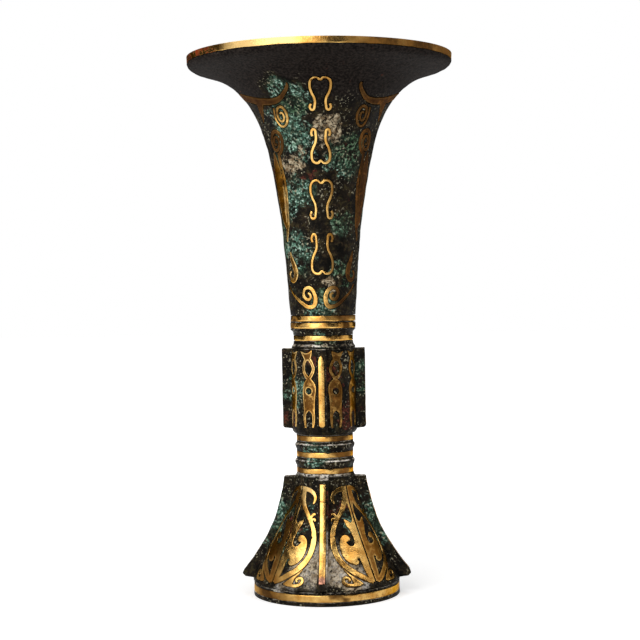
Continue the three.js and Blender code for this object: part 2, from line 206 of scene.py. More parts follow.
def turned(name, outline):
    """A ring turned round the vase's axis from a closed outline."""
    ring = outline_loop(name, outline)
    with editing():
        bpy.ops.mesh.spin(steps=TURN_STEPS, angle=2 * math.pi, center=(0, 0, 0), axis=(0, 0, 1))
        bpy.ops.mesh.select_all(action="SELECT")
        bpy.ops.mesh.remove_doubles(threshold=1e-6)
        bpy.ops.mesh.normals_make_consistent(inside=False)
    return ring


def plate(name, outline, width):
    """A plate on edge in the plane of X and Z, centred on it."""
    piece = outline_loop(name, outline)
    with editing():
        bpy.ops.mesh.edge_face_add()
        bpy.ops.mesh.extrude_region_move(TRANSFORM_OT_translate={"value": (0, width * MM, 0)})
        bpy.ops.mesh.select_all(action="SELECT")
        bpy.ops.mesh.normals_make_consistent(inside=False)
        bpy.ops.transform.translate(value=(0, -width * MM / 2, 0))
    return piece


def copy_of(piece, name):
    """A copy with its own mesh."""
    copy = piece.copy()
    copy.data = piece.data.copy()
    copy.name = name
    bpy.context.collection.objects.link(copy)
    return copy


def round_flanges(piece, stem):
    """Four copies of a piece that faces +X, at the front, right, back and left."""
    copies = [copy_of(piece, f"{stem}_{side}") for side in SIDES]
    for i, copy in enumerate(copies):
        copy.data.transform(Matrix.Rotation((i - 1) * QUARTER, 4, "Z"))
    bpy.data.objects.remove(piece)
    return copies


def add_flanges(body, fin, edge):
    """Joins four softened copies of a flange to a body."""
    soften(fin, edge)
    for flange in round_flanges(fin, "flange"):
        combine(body, flange, "UNION")


def cut_grid(piece, step):
    """Cuts a flat motif by evenly spaced planes, so that its faces can follow a wall."""
    only(piece)
    corners = [Vector(corner) for corner in piece.bound_box]
    with editing():
        for axis, normal in enumerate(((1, 0, 0), (0, 1, 0))):
            low = min(corner[axis] for corner in corners)
            high = max(corner[axis] for corner in corners)
            for i in range(math.ceil(low / step), math.floor(high / step) + 1):
                bpy.ops.mesh.select_all(action="SELECT")
                bpy.ops.mesh.bisect(plane_co=[n * i * step for n in normal], plane_no=normal)


def bend(low, high, out_share, in_share, count):
    """Points of a curve between two profile points, with its handles as shares of the step between them."""
    step = (high[0] - low[0], high[1] - low[1])
    out_handle = (low[0] + step[0] * out_share[0], low[1] + step[1] * out_share[1])
    in_handle = (high[0] - step[0] * in_share[0], high[1] - step[1] * in_share[1])
    corners = [Vector((*corner, 0)) for corner in (low, out_handle, in_handle, high)]
    return [point.to_2d() for point in interpolate_bezier(*corners, count)]


def stepped(outline, step):
    """The outline with its long straight runs divided."""
    points = []
    for here, following in zip(outline, outline[1:] + outline[:1]):
        here, following = Vector(here), Vector(following)
        parts = max(1, round((following - here).length / step))
        points += [here.lerp(following, i / parts) for i in range(parts)]
    return points


# Walls and the flat map of them


def side_normals(outline):
    normals = []
    for i in range(len(outline)):
        along = outline[min(i + 1, len(outline) - 1)] - outline[max(i - 1, 0)]
        normals.append(Vector((along.y, -along.x)).normalized())
    return normals


def share_of(value, values):
    """The step of a rising list that a value falls in, and how far along the step it is."""
    i = next((i for i in range(1, len(values) - 1) if value <= values[i]), len(values) - 1)
    return i - 1, (value - values[i - 1]) / (values[i] - values[i - 1])


class Wall:
    """The outside of a casting where inlay lies, from its lower end to its upper end, and a flat map of it.
    On the map x is the turn round the vase and y is the north, which grows so that shapes keep their angles."""

    def __init__(self, outline, middle_radius):
        self.outline = outline
        self.normals = side_normals(outline)
        self.middle_radius = middle_radius
        self.norths = [0.0]
        for low, high in zip(outline, outline[1:]):
            self.norths.append(self.norths[-1] + 2 * (high - low).length / (high.x + low.x))

    def at_height(self, z):
        """The radius and the north at a height."""
        i, share = share_of(z, [point.y for point in self.outline])
        radius = self.outline[i].x + share * (self.outline[i + 1].x - self.outline[i].x)
        return radius, self.norths[i] + share * (self.norths[i + 1] - self.norths[i])

    def station(self, side, z, width):
        """A point on the map, from millimetres along the wall and a height."""
        radius, north = self.at_height(z)
        return side / radius, north, width / radius

    def line(self, *stations):
        return [self.station(*station) for station in stations]

    def patch(self, *points):
        """A patch's edge on the map, from (side, height) points. A third value marks a sharp tip."""
        return [(*self.station(side, z, 0)[:2], bool(tip)) for side, z, *tip in points]

    def hole(self, side, z, radius):
        angles = [i * EIGHTH for i in range(8)]
        return self.patch(*((side + radius * math.cos(turn), z + radius * math.sin(turn)) for turn in angles))

    def place(self, turn, north, lift):
        """The point of the vase, in metres, that stands over a point of the map."""
        i, share = share_of(north, self.norths)
        point = self.outline[i].lerp(self.outline[i + 1], share)
        point = point + self.normals[i].lerp(self.normals[i + 1], share).normalized() * lift
        return Vector((point.x * math.sin(turn), -point.x * math.cos(turn), point.y)) * MM

    def volute(self, side, z, reach, core, turns, start, widths, tall, lean):
        """Map stations of a spiral that winds inwards round a point of the wall, tall times as high as wide."""
        radius, north = self.at_height(z)
        count = round(turns * SPIRAL_STEPS)
        stations = []
        for i in range(count + 1):
            share = i / count
            angle = math.radians(start) + share * turns * 2 * math.pi
            distance = (reach + (core - reach) * share) / radius
            up = tall * distance * math.sin(angle)
            knot = min(int(share * (len(widths) - 1)), len(widths) - 2)
            part = share * (len(widths) - 1) - knot
            width = widths[knot] + (widths[knot + 1] - widths[knot]) * part
            along = side / radius + distance * math.cos(angle) + lean * up
            stations.append((along, north + up, width / radius))
        return stations


# Strokes of gold, drawn flat and then laid on a wall


def make_nib():
    """A flat line, one wide, that a stroke's path is drawn with."""
    nib = added(bpy.ops.curve.primitive_bezier_curve_add)
    nib.name = "nib"
    for point, x in zip(nib.data.splines[0].bezier_points, (-0.5, 0.5)):
        point.handle_left_type = point.handle_right_type = "VECTOR"
        point.co = (x, 0, 0)
    nib.data.splines[0].resolution_u = 1
    return nib


NIB = make_nib()


def lengthened(stations, by):
    """Stations whose two ends are drawn out along the stroke."""
    ends = []
    for end, before in ((0, 1), (-1, -2)):
        tip, neighbour = Vector(stations[end][:2]), Vector(stations[before][:2])
        tip += (tip - neighbour).normalized() * by
        ends.append((tip.x, tip.y, stations[end][2]))
    return [ends[0], *stations[1:-1], ends[1]]


def flat_stroke(stations, grow, thickness):
    """A tapering stroke, flat on the map, through (x, y, width) stations."""
    stroke = added(bpy.ops.curve.primitive_bezier_curve_add)
    path = stroke.data
    path.dimensions = "2D"
    path.fill_mode = "NONE"
    path.bevel_mode = "OBJECT"
    path.bevel_object = NIB
    spline = path.splines[0]
    spline.resolution_u = CURVE_STEPS
    spline.bezier_points.add(len(stations) - 2)
    for point, (x, y, width) in zip(spline.bezier_points, lengthened(stations, grow)):
        point.co = (x, y, 0)
        point.radius = width + 2 * grow
        point.handle_left_type = point.handle_right_type = "AUTO"
    bpy.ops.object.convert(target="MESH")
    apply_modifier(stroke, "SOLIDIFY", thickness=thickness, offset=0)
    return stroke


def flat_patch(outline, grow, thickness):
    """A filled shape, flat on the map, through (x, y, is_tip) points of its edge."""
    patch = added(bpy.ops.curve.primitive_bezier_circle_add)
    path = patch.data
    path.dimensions = "2D"
    path.fill_mode = "BOTH"
    path.extrude = thickness / 2
    path.offset = grow
    spline = path.splines[0]
    spline.resolution_u = CURVE_STEPS
    spline.bezier_points.add(len(outline) - 4)
    for point, (x, y, is_tip) in zip(spline.bezier_points, outline):
        point.co = (x, y, 0)
        point.handle_left_type = point.handle_right_type = "VECTOR" if is_tip else "AUTO"
    bpy.ops.object.convert(target="MESH")
    with editing():
        bpy.ops.mesh.remove_doubles(threshold=1e-5)
        bpy.ops.mesh.normals_make_consistent(inside=False)
    return patch


def flat_motif(wall, motif, grow, out, sink):
    """A motif's strokes and patches joined flat, less its holes, as thick as the map's scale makes them."""
    scale = wall.middle_radius
    thickness = (out + sink) / scale
    parts = [flat_stroke(stations, grow / scale, thickness) for stations in motif.get("strokes", [])]
    parts += [flat_patch(outline, grow / scale, thickness) for outline in motif.get("patches", [])]
    whole = parts[0]
    for part in parts[1:]:
        combine(whole, part, "UNION")
    for outline in motif.get("holes", []):
        combine(whole, flat_patch(outline, -grow / scale, 2 * thickness), "DIFFERENCE")
    only(whole)
    with editing():
        bpy.ops.mesh.dissolve_limited(angle_limit=math.radians(1))
        bpy.ops.mesh.select_all(action="SELECT")
        bpy.ops.transform.translate(value=(0, 0, (out - sink) / scale / 2))
    return whole


def laid_on(wall, motif, name, angle, hand):
    """A copy of a flat motif, turned round the vase or mirrored, and wrapped on its wall."""
    piece = copy_of(motif, name)
    for vertex in piece.data.vertices:
        turn = hand * vertex.co.x + angle
        vertex.co = wall.place(turn, vertex.co.y, vertex.co.z * wall.middle_radius)
    if hand < 0:
        piece.data.flip_normals()
    return piece


def mark_face(gold, wall):
    """Writes how far each point of a flat motif is from its edge: 0 on the edge, where wear keeps the gold
    bright, 1 on the face.
    """
    points = [vertex.co.xy.to_3d() for vertex in gold.data.vertices]
    upright = [face for face in gold.data.polygons if abs(face.normal.z) < 0.3]
    sides = {key for face in upright for key in face.edge_keys}
    edge = [points[i].lerp(points[j], share) for i, j in sides for share in (0, 0.25, 0.5, 0.75)]
    tree = kdtree.KDTree(len(edge))
    for i, point in enumerate(edge):
        tree.insert(point, i)
    tree.balance()
    edge_end, face_start = RUBBED_EDGE
    values = gold.data.attributes.new("face", "FLOAT", "POINT").data
    for point, value in zip(points, values):
        distance = tree.find(point)[2] * wall.middle_radius
        value.value = max(0.0, min(1.0, (distance - edge_end) / (face_start - edge_end)))


class InlaidCasting:
    """A casting, and the recesses that wait to be cut in it."""

    def __init__(self, piece):
        self.piece = piece
        self.recesses = []

    def lay(self, wall, motif, places):
        """Lays one motif at each (node, angle, hand) and keeps its recess."""
        gold = flat_motif(wall, motif, 0, GOLD_PROUD, GOLD_THICKNESS)
        soften(gold, GOLD_EDGE / wall.middle_radius / MM)
        cut_grid(gold, MAP_STEP)
        mark_face(gold, wall)
        recess = flat_motif(wall, motif, GROOVE_GAP, 1, GROOVE_DEPTH)
        cut_grid(recess, RECESS_STEP)
        for node, angle, hand in places:
            self.recesses.append(laid_on(wall, recess, "recess", angle, hand))
            add_piece(laid_on(wall, gold, f"gold_{node}", angle, hand), node, "gold")
        bpy.data.objects.remove(gold)
        bpy.data.objects.remove(recess)

    def lay_strips(self, stem, recess, gold, crack=None):
        """Sets one strip in each of the four flanges. The front one is split where there is a crack."""
        self.recesses += round_flanges(recess, "recess")
        soften(gold, 0.22)
        for side, piece in zip(SIDES, round_flanges(gold, f"gold_{stem}")):
            if crack and side == "front":
                combine(piece, crack, "DIFFERENCE")
            add_piece(piece, f"{stem}_{side}", "gold")

    def finish(self, node):
        """Cuts every recess and adds the casting."""
        combine(self.piece, joined(self.recesses), "DIFFERENCE")
        add_piece(self.piece, node, "bronze")


# Finishes


class Shop:
    """A node tree, the coordinates that its patterns lie on, and the short ways to put nodes in it."""

    def __init__(self, tree):
        self.tree = tree
        self.place = None

    def node(self, kind, inputs=None, **settings):
        node = self.tree.nodes.new(kind)
        for name, value in settings.items():
            setattr(node, name, value)
        self.feed(node, inputs or {})
        return node

    def feed(self, node, inputs):
        """Links or sets the inputs of a node. A plain colour is (red, green, blue)."""
        for name, value in inputs.items():
            socket = node.inputs[name]
            if isinstance(value, bpy.types.NodeSocket):
                self.tree.links.new(value, socket)
            else:
                socket.default_value = (*value, 1) if socket.type == "RGBA" else value

    def noise(self, scale, detail=4, roughness=0.6, distortion=0.0):
        return self.node("ShaderNodeTexNoise", {
            "Vector": self.place, "Scale": scale, "Detail": detail, "Roughness": roughness,
            "Distortion": distortion}).outputs["Fac"]

    def ramp(self, value, low, high):
        """0 below low, 1 above high; the other way round when low is the larger."""
        node = self.node("ShaderNodeMapRange", {"Value": value, "From Min": low, "From Max": high},
                         interpolation_type="SMOOTHSTEP")
        return node.outputs["Result"]

    def maths(self, operation, *values):
        return self.node("ShaderNodeMath", dict(enumerate(values)), operation=operation).outputs[0]

    def times(self, first, second):
        return self.maths("MULTIPLY", first, second)

    def plus(self, first, second):
        return self.maths("ADD", first, second)

    def scaled(self, value, factor, start):
        return self.maths("MULTIPLY_ADD", value, factor, start)

    def most(self, first, second):
        return self.maths("MAXIMUM", first, second)

    def rest(self, share):
        """What a share leaves of the whole."""
        return self.maths("SUBTRACT", 1, share)

    def vector(self, operation, *values):
        return self.node("ShaderNodeVectorMath", dict(enumerate(values)), operation=operation).outputs

    def mix(self, share, first, second):
        return self.node("ShaderNodeMix", {0: share, 6: first, 7: second}, data_type="RGBA").outputs[2]

    def tones(self, value, low, high, first, second):
        """One colour where a value is low and another where it is high."""
        return self.mix(self.ramp(value, low, high), first, second)

    def risen(self, low, high):
        """A ramp between two heights of the vase, in millimetres."""
        height = self.node("ShaderNodeSeparateXYZ", {"Vector": self.place}).outputs["Z"]
        return self.ramp(height, low * MM, high * MM)

    def islands(self, scale, cover, edge):
        inputs = {"Vector": self.place, "Scale": scale, "Cover": cover, "Edge": edge}
        return self.node("ShaderNodeGroup", inputs, node_tree=BLOTCHES).outputs["Mask"]

    def spots(self, places):
        """Ragged patches of a finish, from (x, y, z, reach) places."""
        ragged = self.node("ShaderNodeTexNoise", {"Vector": self.place, "Scale": 90, "Detail": 3})
        moved = self.vector("SUBTRACT", ragged.outputs["Color"], (0.5, 0.5, 0.5))[0]
        moved = self.vector("MULTIPLY_ADD", moved, (0.02, 0.02, 0.02), self.place)[0]
        whole = 0.0
        for *centre, reach in places:
            whole = self.most(whole, self.near(moved, centre, reach))
        return whole

    def near(self, vector, centre, reach):
        """1 at the middle of a round place on the vase and 0 past its reach, both in millimetres."""
        away = self.vector("DISTANCE", vector, [value * MM for value in centre])["Value"]
        return self.ramp(away, reach * MM, reach * MM * 0.35)


def new_group(name, inputs, outputs):
    """An empty shader group with its sockets, the values given to it and its output node."""
    tree = bpy.data.node_groups.new(name, "ShaderNodeTree")
    for in_out, sockets in (("INPUT", inputs), ("OUTPUT", outputs)):
        for socket, kind in sockets.items():
            tree.interface.new_socket(socket, in_out=in_out, socket_type=f"NodeSocket{kind}")
    return Shop(tree), tree.nodes.new("NodeGroupInput").outputs, tree.nodes.new("NodeGroupOutput")


def blotch_group():
    """Ragged islands: large noise broken up by fine noise. More Cover gives more of them."""
    inputs = {"Vector": "Vector", "Scale": "Float", "Cover": "Float", "Edge": "Float"}
    shop, given, result = new_group("blotches", inputs, {"Mask": "Float"})
    shop.place = given["Vector"]
    large = shop.noise(given["Scale"], 5, 0.62, 0.4)
    fine = shop.noise(shop.times(given["Scale"], 6.5), 3, 0.7)
    mixed = shop.plus(shop.times(large, 0.68), shop.times(fine, 0.32))
    low = shop.rest(given["Cover"])
    shop.feed(result, {"Mask": shop.ramp(mixed, low, shop.plus(low, given["Edge"]))})
    return shop.tree


def patina_group():
    """The ground of the old bronze: its colour, roughness and relief, and how much it has of each crust."""
    crusts = {name: "Float" for name in ("Green", "Olive", "Tan", "Rust", "Dust")}
    shop, given, result = new_group(
        "patina", {"Vector": "Vector", **crusts}, {"Color": "Color", "Roughness": "Float", "Height": "Float"})
    shop.place, green = given["Vector"], given["Green"]
    grain = shop.noise(760, 2, 0.6)
    crystals = shop.noise(440, 3, 0.6, 0.8)
    tone = shop.noise(130, 5, 0.68)
    ground = shop.tones(tone, 0.36, 0.66, (0.003, 0.0026, 0.002), (0.014, 0.01, 0.0065))
    grown = shop.ramp(green, 0.2, 0.5)
    warm = shop.times(shop.islands(260, 0.44, 0.08), grown)
    ground = shop.mix(warm, ground, (0.05, 0.033, 0.017))
    mottle = shop.times(shop.ramp(crystals, 0.5, 0.62), shop.ramp(tone, 0.38, 0.6))
    speckled = shop.mix(grain, (0.02, 0.024, 0.01), (0.058, 0.036, 0.016))
    ground = shop.mix(shop.times(mottle, grown), ground, speckled)
    bare = shop.tones(grain, 0.36, 0.66, (0.0055, 0.004, 0.0034), (0.025, 0.0195, 0.0165))
    ground = shop.mix(shop.rest(grown), ground, bare)
    damp = shop.islands(80, shop.scaled(green, 0.3, 0.28), 0.14)
    body = shop.mix(damp, ground, shop.tones(grain, 0.36, 0.64, (0.004, 0.009, 0.006), (0.048, 0.072, 0.045)))
    field = shop.islands(120, shop.scaled(green, 0.44, 0.15), 0.12)
    bright = shop.times(shop.ramp(crystals, 0.46, 0.56), field)
    verdigris = shop.tones(grain, 0.34, 0.56, (0.017, 0.046, 0.032), (0.14, 0.275, 0.2))
    verdigris = shop.tones(grain, 0.53, 0.65, verdigris, (0.6, 0.8, 0.68))
    olive = shop.most(shop.ramp(shop.noise(38, 2, 0.5), 0.54, 0.64), given["Olive"])
    olive_crust = shop.tones(grain, 0.4, 0.64, (0.012, 0.028, 0.01), (0.12, 0.2, 0.09))
    verdigris = shop.mix(shop.times(olive, 0.8), verdigris, olive_crust)
    body = shop.mix(bright, body, verdigris)
    stray = shop.times(shop.ramp(grain, 0.595, 0.65), shop.ramp(green, 0.15, 0.5))
    stray = shop.times(stray, shop.ramp(shop.noise(90, 3, 0.6), 0.44, 0.6))
    body = shop.mix(stray, body, (0.34, 0.31, 0.21))
    streaks = shop.noise(260, 3, 0.6, 2.6)
    crust = shop.islands(190, shop.times(given["Tan"], 0.5), 0.1)
    crust = shop.times(crust, shop.ramp(streaks, 0.38, 0.5))
    body = shop.mix(crust, body, shop.tones(crystals, 0.4, 0.6, (0.16, 0.11, 0.06), (0.54, 0.445, 0.3)))
    rust = shop.islands(230, shop.scaled(given["Rust"], 0.22, 0.38), 0.08)
    rust = shop.times(rust, shop.ramp(crystals, 0.66, 0.5))
    body = shop.mix(rust, body, shop.tones(grain, 0.4, 0.6, (0.028, 0.008, 0.006), (0.12, 0.032, 0.019)))
    dust = shop.times(given["Dust"], shop.ramp(grain, 0.34, 0.54))
    body = shop.mix(dust, body, shop.tones(tone, 0.4, 0.58, (0.36, 0.28, 0.19), (0.9, 0.84, 0.75)))
    coarse = shop.plus(shop.times(bright, 0.4), shop.times(crust, 0.7))
    relief = shop.plus(shop.times(tone, 0.7), shop.times(grain, 0.4))
    shop.feed(result, {"Color": body, "Roughness": shop.scaled(coarse, 0.3, 0.46),
                       "Height": shop.plus(relief, shop.times(coarse, 0.5))})
    return shop.tree


def new_material(name):
    material = bpy.data.materials.new(name)
    material.use_nodes = True
    material.node_tree.nodes.clear()
    shop = Shop(material.node_tree)
    surface = shop.node("ShaderNodeBsdfPrincipled")
    shop.node("ShaderNodeOutputMaterial", {"Surface": surface.outputs["BSDF"]})
    shop.place = shop.node("ShaderNodeTexCoord").outputs["Object"]
    return material, shop, surface


def bumped(shop, height, strength, distance):
    bump = shop.node("ShaderNodeBump", {"Height": height, "Strength": strength, "Distance": distance})
    return bump.outputs["Normal"]


# Places of the patina: x, y, z and reach, in millimetres
VERDIGRIS_PLACES = [
    (-16, -37, 276, 19), (-9, -18.5, 50, 7), (11, -20, 42, 8), (-11, -20.5, 38, 6), (-14, -30, 270, 22),
    (-12, -26, 252, 20), (16, -22, 244, 17), (-12, -18, 222, 18), (10, -17, 206, 13), (-12, -16, 192, 17),
    (9, -16, 180, 12), (0, -19, 160, 14), (-17, -12, 112, 18), (0, -19, 142, 10), (-34, 0, 44, 24),
    (-26, -24, 30, 12), (27, -22, 44, 18), (34, 0, 44, 24), (-4, -18, 80, 12), (-3, 30, 255, 26),
    (20, 14, 215, 26), (-22, 8, 200, 26), (10, 30, 40, 30), (-24, 20, 120, 24), (20, 6, 120, 18)]
TAN_PLACES = [
    (6, -33, 256, 13), (-13, -24, 240, 10), (2, -18, 171, 7), (-9, -36, 20, 17), (8, -37, 22, 17),
    (16, -36, 14, 12), (-14, 30, 236, 14), (30, 26, 20, 14)]
RUST_PLACES = [
    (5, -26, 52, 11), (7, -31, 42, 9), (-5, -29, 42, 6), (16, -15, 100, 12), (-21, -6, 98, 10),
    (4, -19, 122, 10), (-9, -17, 133, 7), (-14, -18, 40, 8), (15, -16, 54, 8), (-3, -22, 232, 7),
    (-24, -12, 230, 9), (24, 10, 130, 12), (-12, 26, 210, 12), (20, 30, 34, 12)]
OLIVE_PLACES = [
    (20, -22, 252, 24), (16, -16, 212, 22), (15, -13, 176, 18), (30, -20, 40, 26), (20, -8, 120, 18)]
DUSTY_PLACES = [
    (-7, -37, 20, 14), (6, -38, 20, 14), (5, -33, 32, 9), (-6, -33, 30, 8), (-20, -34, 12, 9),
    (22, -33, 13, 9), (12, 40, 16, 12)]

# Dust lies where a surface faces up this much, between the neck's foot and the trumpet and on the bell below
LEDGE_TILT = (0.25, 0.6)
LEDGES_BELOW = (160, 150)
LEDGES_ABOVE = (65.5, 66)
BELL_LEDGE_TILT = (0.8, 0.95)
BELL_LEDGES_BELOW = (70, 67)
BARE_BELOW_LIP = (266, 282)


def bronze_material():
    material, shop, surface = new_material("patinated bronze")
    facing = shop.node("ShaderNodeTexCoord").outputs["Normal"]
    upward = shop.node("ShaderNodeSeparateXYZ", {"Vector": facing}).outputs["Z"]
    ledge = shop.times(shop.ramp(upward, *LEDGE_TILT), shop.risen(*LEDGES_BELOW))
    ledge = shop.times(ledge, shop.risen(*LEDGES_ABOVE))
    bell_ledge = shop.times(shop.ramp(upward, *BELL_LEDGE_TILT), shop.risen(*BELL_LEDGES_BELOW))
    ledge = shop.times(shop.most(ledge, bell_ledge), shop.ramp(shop.noise(110, 3, 0.6), 0.36, 0.56))
    lip = shop.risen(*BARE_BELOW_LIP)
    grown = shop.spots(VERDIGRIS_PLACES)
    bare = shop.times(lip, shop.rest(grown))
    patina = shop.node("ShaderNodeGroup", {
        "Vector": shop.place, "Green": shop.scaled(bare, -0.36, shop.scaled(grown, 0.53, 0.5)),
        "Olive": shop.spots(OLIVE_PLACES), "Tan": shop.scaled(shop.spots(TAN_PLACES), 0.62, 0.72),
        "Rust": shop.spots(RUST_PLACES),
        "Dust": shop.most(ledge, shop.times(shop.spots(DUSTY_PLACES), 0.42))}, node_tree=PATINA).outputs
    shop.feed(surface, {
        "Base Color": patina["Color"], "Roughness": shop.scaled(lip, 0.25, patina["Roughness"]),
        "Metallic": 0.0, "Specular IOR Level": 0.04, "Normal": bumped(shop, patina["Height"], 0.8, 0.0009)})
    return material


# Places of the gold's wear, painted shade and painted highlights: x, y, z and reach, in millimetres
COPPER_END = (0, -45.6, 14.6)
COPPER_REACH = 4.4
# Tarnish, and painted shade at the trumpet's sides
TARNISH_AND_SHADE_PLACES = [(-21, -7, 222, 22), (-25, -11, 240, 14), (20, -6, 180, 18)]
# Places where the painted shade is left off, so that the gold keeps its sheen
SHEEN_PLACES = [(-18, -28.5, 264, 7), (-17.5, -29.5, 270, 6), (-19.5, -26.5, 258.5, 5)]
# The neck bands' ends, where painted shade darkens the gold
NECK_ENDS = [(x, y, z, reach) for x, y, reach in ((-13, -9.5, 9), (10.5, -12.2, 8)) for z in (69.6, 78.6, 87.6)]
# Painted shade at the ends of the bands and on the foot band, and painted shade with grime on the rim
GRIME_AND_SHADE_PLACES = [
    (36, -64, 298, 22), (56, -47, 298, 24), (70, -22, 298, 30), (70, 14, 298, 34), (52, 52, 298, 30),
    (-46, 58, 298, 30), *NECK_ENDS, (-32, -27, 4.2, 25), (9, -40, 4.2, 5.5), (38, 14, 4.2, 26),
    (13, -13, 150, 7), (-16, -9, 152, 7)]
# Painted highlights on the rim and the bell scroll
HIGHLIGHT_PLACES = [(-34, -65, 298, 20), (-14, -72, 298, 14), (-9.4, -14.8, 60.5, 6), (-9.8, -15.4, 55, 6)]
# Painted highlights along scroll edges on the trumpet and the knop
EDGE_HIGHLIGHT_PLACES = [
    (-17, -11, 214, 16), (-14, -12, 198, 16), (-13, -12, 184, 12), (-13, -13.5, 130, 10), (-18, -5, 107, 19),
    (-13, -13, 108, 8)]
RED_PLACES = [(-71, -24, 298, 22), (-62, -41, 298, 22), (-54, -52, 299.5, 7), (20, 72, 298, 30)]

# Directions round the vase, and the heights between which a kind of wear or of painted shade sets in or ends
# The front, where the gold is left without painted shade
UNSHADED_SIDE = (0.02, -1, 0)
COLUMN_SIDE = (0.07, -0.9975, 0)
RIGHT_QUADRANT = (0.7, -0.714, 0)
# The side of the trumpet where the gold is darkened as painted shade
SHADED_SIDE = (0.95, -0.31, 0)
KNOP_FROM, KNOP_TO = (90, 93), (141, 139)
NECK_FROM, NECK_TO = (64, 66), (92, 88)
TRUMPET_FROM = (152, 156)
HIGH_SHADE_FROM = (236, 246)
RIM_FROM = (290, 286)


def gold_material():
    material, shop, surface = new_material("gold with wear and painted light")
    face = shop.node("ShaderNodeAttribute", attribute_name="face").outputs["Fac"]
    tone = shop.noise(120, 4, 0.6)
    gold = shop.tones(tone, 0.34, 0.62, (0.47, 0.235, 0.05), (0.66, 0.41, 0.125))
    outwards = shop.vector("NORMALIZE", shop.vector("MULTIPLY", shop.place, (1, 1, 0))[0])[0]

    def turned_to(direction, low, high):
        return shop.ramp(shop.vector("DOT_PRODUCT", outwards, direction)["Value"], low, high)

    knop = shop.times(shop.risen(*KNOP_FROM), shop.risen(*KNOP_TO))
    # On the knop's right quadrant the edges darken with the faces: painted shade on the side turned from the
    # light.
    right = shop.times(knop, turned_to(RIGHT_QUADRANT, 0.7, 0.9))
    faces_and_shaded_right = shop.most(face, shop.times(right, 0.92))
    # Gold turned more than about 45 degrees from the front darkens: painted shade for the dark that it mirrors
    # there. The knop's gold is tarnished all round, and the listed places add tarnish and painted shade.
    tarnish_and_shade = shop.most(turned_to(UNSHADED_SIDE, 0.735, 0.7), knop)
    tarnish_and_shade = shop.most(tarnish_and_shade, shop.spots(TARNISH_AND_SHADE_PLACES))
    patchy = shop.scaled(shop.ramp(shop.noise(300, 4, 0.65), 0.64, 0.5), 0.45, 0.55)
    tarnish_and_shade = shop.times(shop.times(tarnish_and_shade, faces_and_shaded_right), patchy)
    tarnish_and_shade_colour = shop.mix(knop, (0.165, 0.068, 0.014), (0.07, 0.026, 0.0048))
    gold = shop.mix(shop.times(tarnish_and_shade, 0.95), gold, tarnish_and_shade_colour)

    # Painted shade: the trumpet's gold darkens on its right side and, away from the column, high on the flare;
    # a little less on edges and none on the rim.
    painted_shade = shop.times(turned_to(SHADED_SIDE, 0.4, 0.72), shop.risen(*TRUMPET_FROM))
    high = shop.times(turned_to(COLUMN_SIDE, 0.975, 0.94), shop.risen(*HIGH_SHADE_FROM))
    # On the upper left volute the painted shade is held back, most on its edges, so that it keeps its sheen.
    kept_sheen = shop.times(shop.spots(SHEEN_PLACES), shop.scaled(face, -0.5, 0.95))
    painted_shade = shop.most(painted_shade, shop.times(high, shop.rest(kept_sheen)))
    painted_shade = shop.times(painted_shade, shop.risen(*RIM_FROM))
    painted_shade = shop.times(painted_shade, shop.scaled(face, 0.08, 0.91))
    gold = shop.mix(painted_shade, gold, shop.tones(tone, 0.36, 0.62, (0.034, 0.012, 0.0036), (0.08, 0.032, 0.0085)))
    # Browner gold at the listed places: painted shade at the bands' ends and on the foot band, painted shade
    # with grime on the rim.
    grime_and_shade = shop.spots(GRIME_AND_SHADE_PLACES)
    gold = shop.mix(shop.times(grime_and_shade, 0.93), gold,
                    shop.tones(tone, 0.4, 0.6, (0.045, 0.017, 0.004), (0.17, 0.07, 0.011)))
    painted_shade = shop.most(painted_shade, grime_and_shade)
    # Painted highlights: cream gold, less metallic, at the listed places and along scroll edges.
    pale = shop.times(shop.spots(EDGE_HIGHLIGHT_PLACES), shop.rest(face))
    pale = shop.most(shop.spots(HIGHLIGHT_PLACES), pale)
    gold = shop.mix(pale, gold, (0.86, 0.57, 0.215))

    neck = shop.times(shop.risen(*NECK_TO), shop.risen(*NECK_FROM))
    # Stains, a few more on the neck bands and more towards the right side, where they add painted shade.
    stain_and_shade_cover = shop.scaled(neck, 0.05, shop.scaled(turned_to(SHADED_SIDE, 0.3, 0.9), 0.1, 0.41))
    stain_and_shade = shop.islands(230, stain_and_shade_cover, 0.14)
    gold = shop.mix(shop.times(stain_and_shade, 0.75), gold, (0.24, 0.095, 0.02))
    red = shop.times(shop.spots(RED_PLACES), shop.islands(260, 0.53, 0.06))
    gold = shop.mix(red, gold, shop.tones(tone, 0.4, 0.6, (0.05, 0.011, 0.005), (0.26, 0.04, 0.01)))
    loss = shop.islands(420, 0.375, 0.05)
    gold = shop.mix(loss, gold, shop.tones(tone, 0.4, 0.6, (0.012, 0.008, 0.006), (0.055, 0.021, 0.009)))
    gold = shop.mix(shop.near(shop.place, COPPER_END, COPPER_REACH), gold, (0.3, 0.14, 0.09))

    crusted = shop.most(loss, red)
    cover = shop.most(shop.times(shop.most(crusted, painted_shade), 0.85), shop.times(pale, 0.6))
    rough = shop.scaled(shop.noise(500, 3, 0.6), 0.2, 0.08)
    dimmed = shop.most(shop.most(stain_and_shade, tarnish_and_shade), shop.most(crusted, painted_shade))
    rough = shop.scaled(painted_shade, 0.4, shop.scaled(dimmed, 0.2, rough))
    relief = shop.maths("SUBTRACT", shop.noise(700, 4, 0.6), loss)
    shop.feed(surface, {
        "Base Color": gold, "Metallic": shop.rest(cover), "Roughness": rough, "Specular IOR Level": 0.1,
        "Specular Tint": (0.95, 0.62, 0.26), "Normal": bumped(shop, relief, 0.4, 0.0003)})
    return material


BLOTCHES = blotch_group()
PATINA = patina_group()
FINISHES = {"bronze": bronze_material(), "gold": gold_material()}


# Trumpet

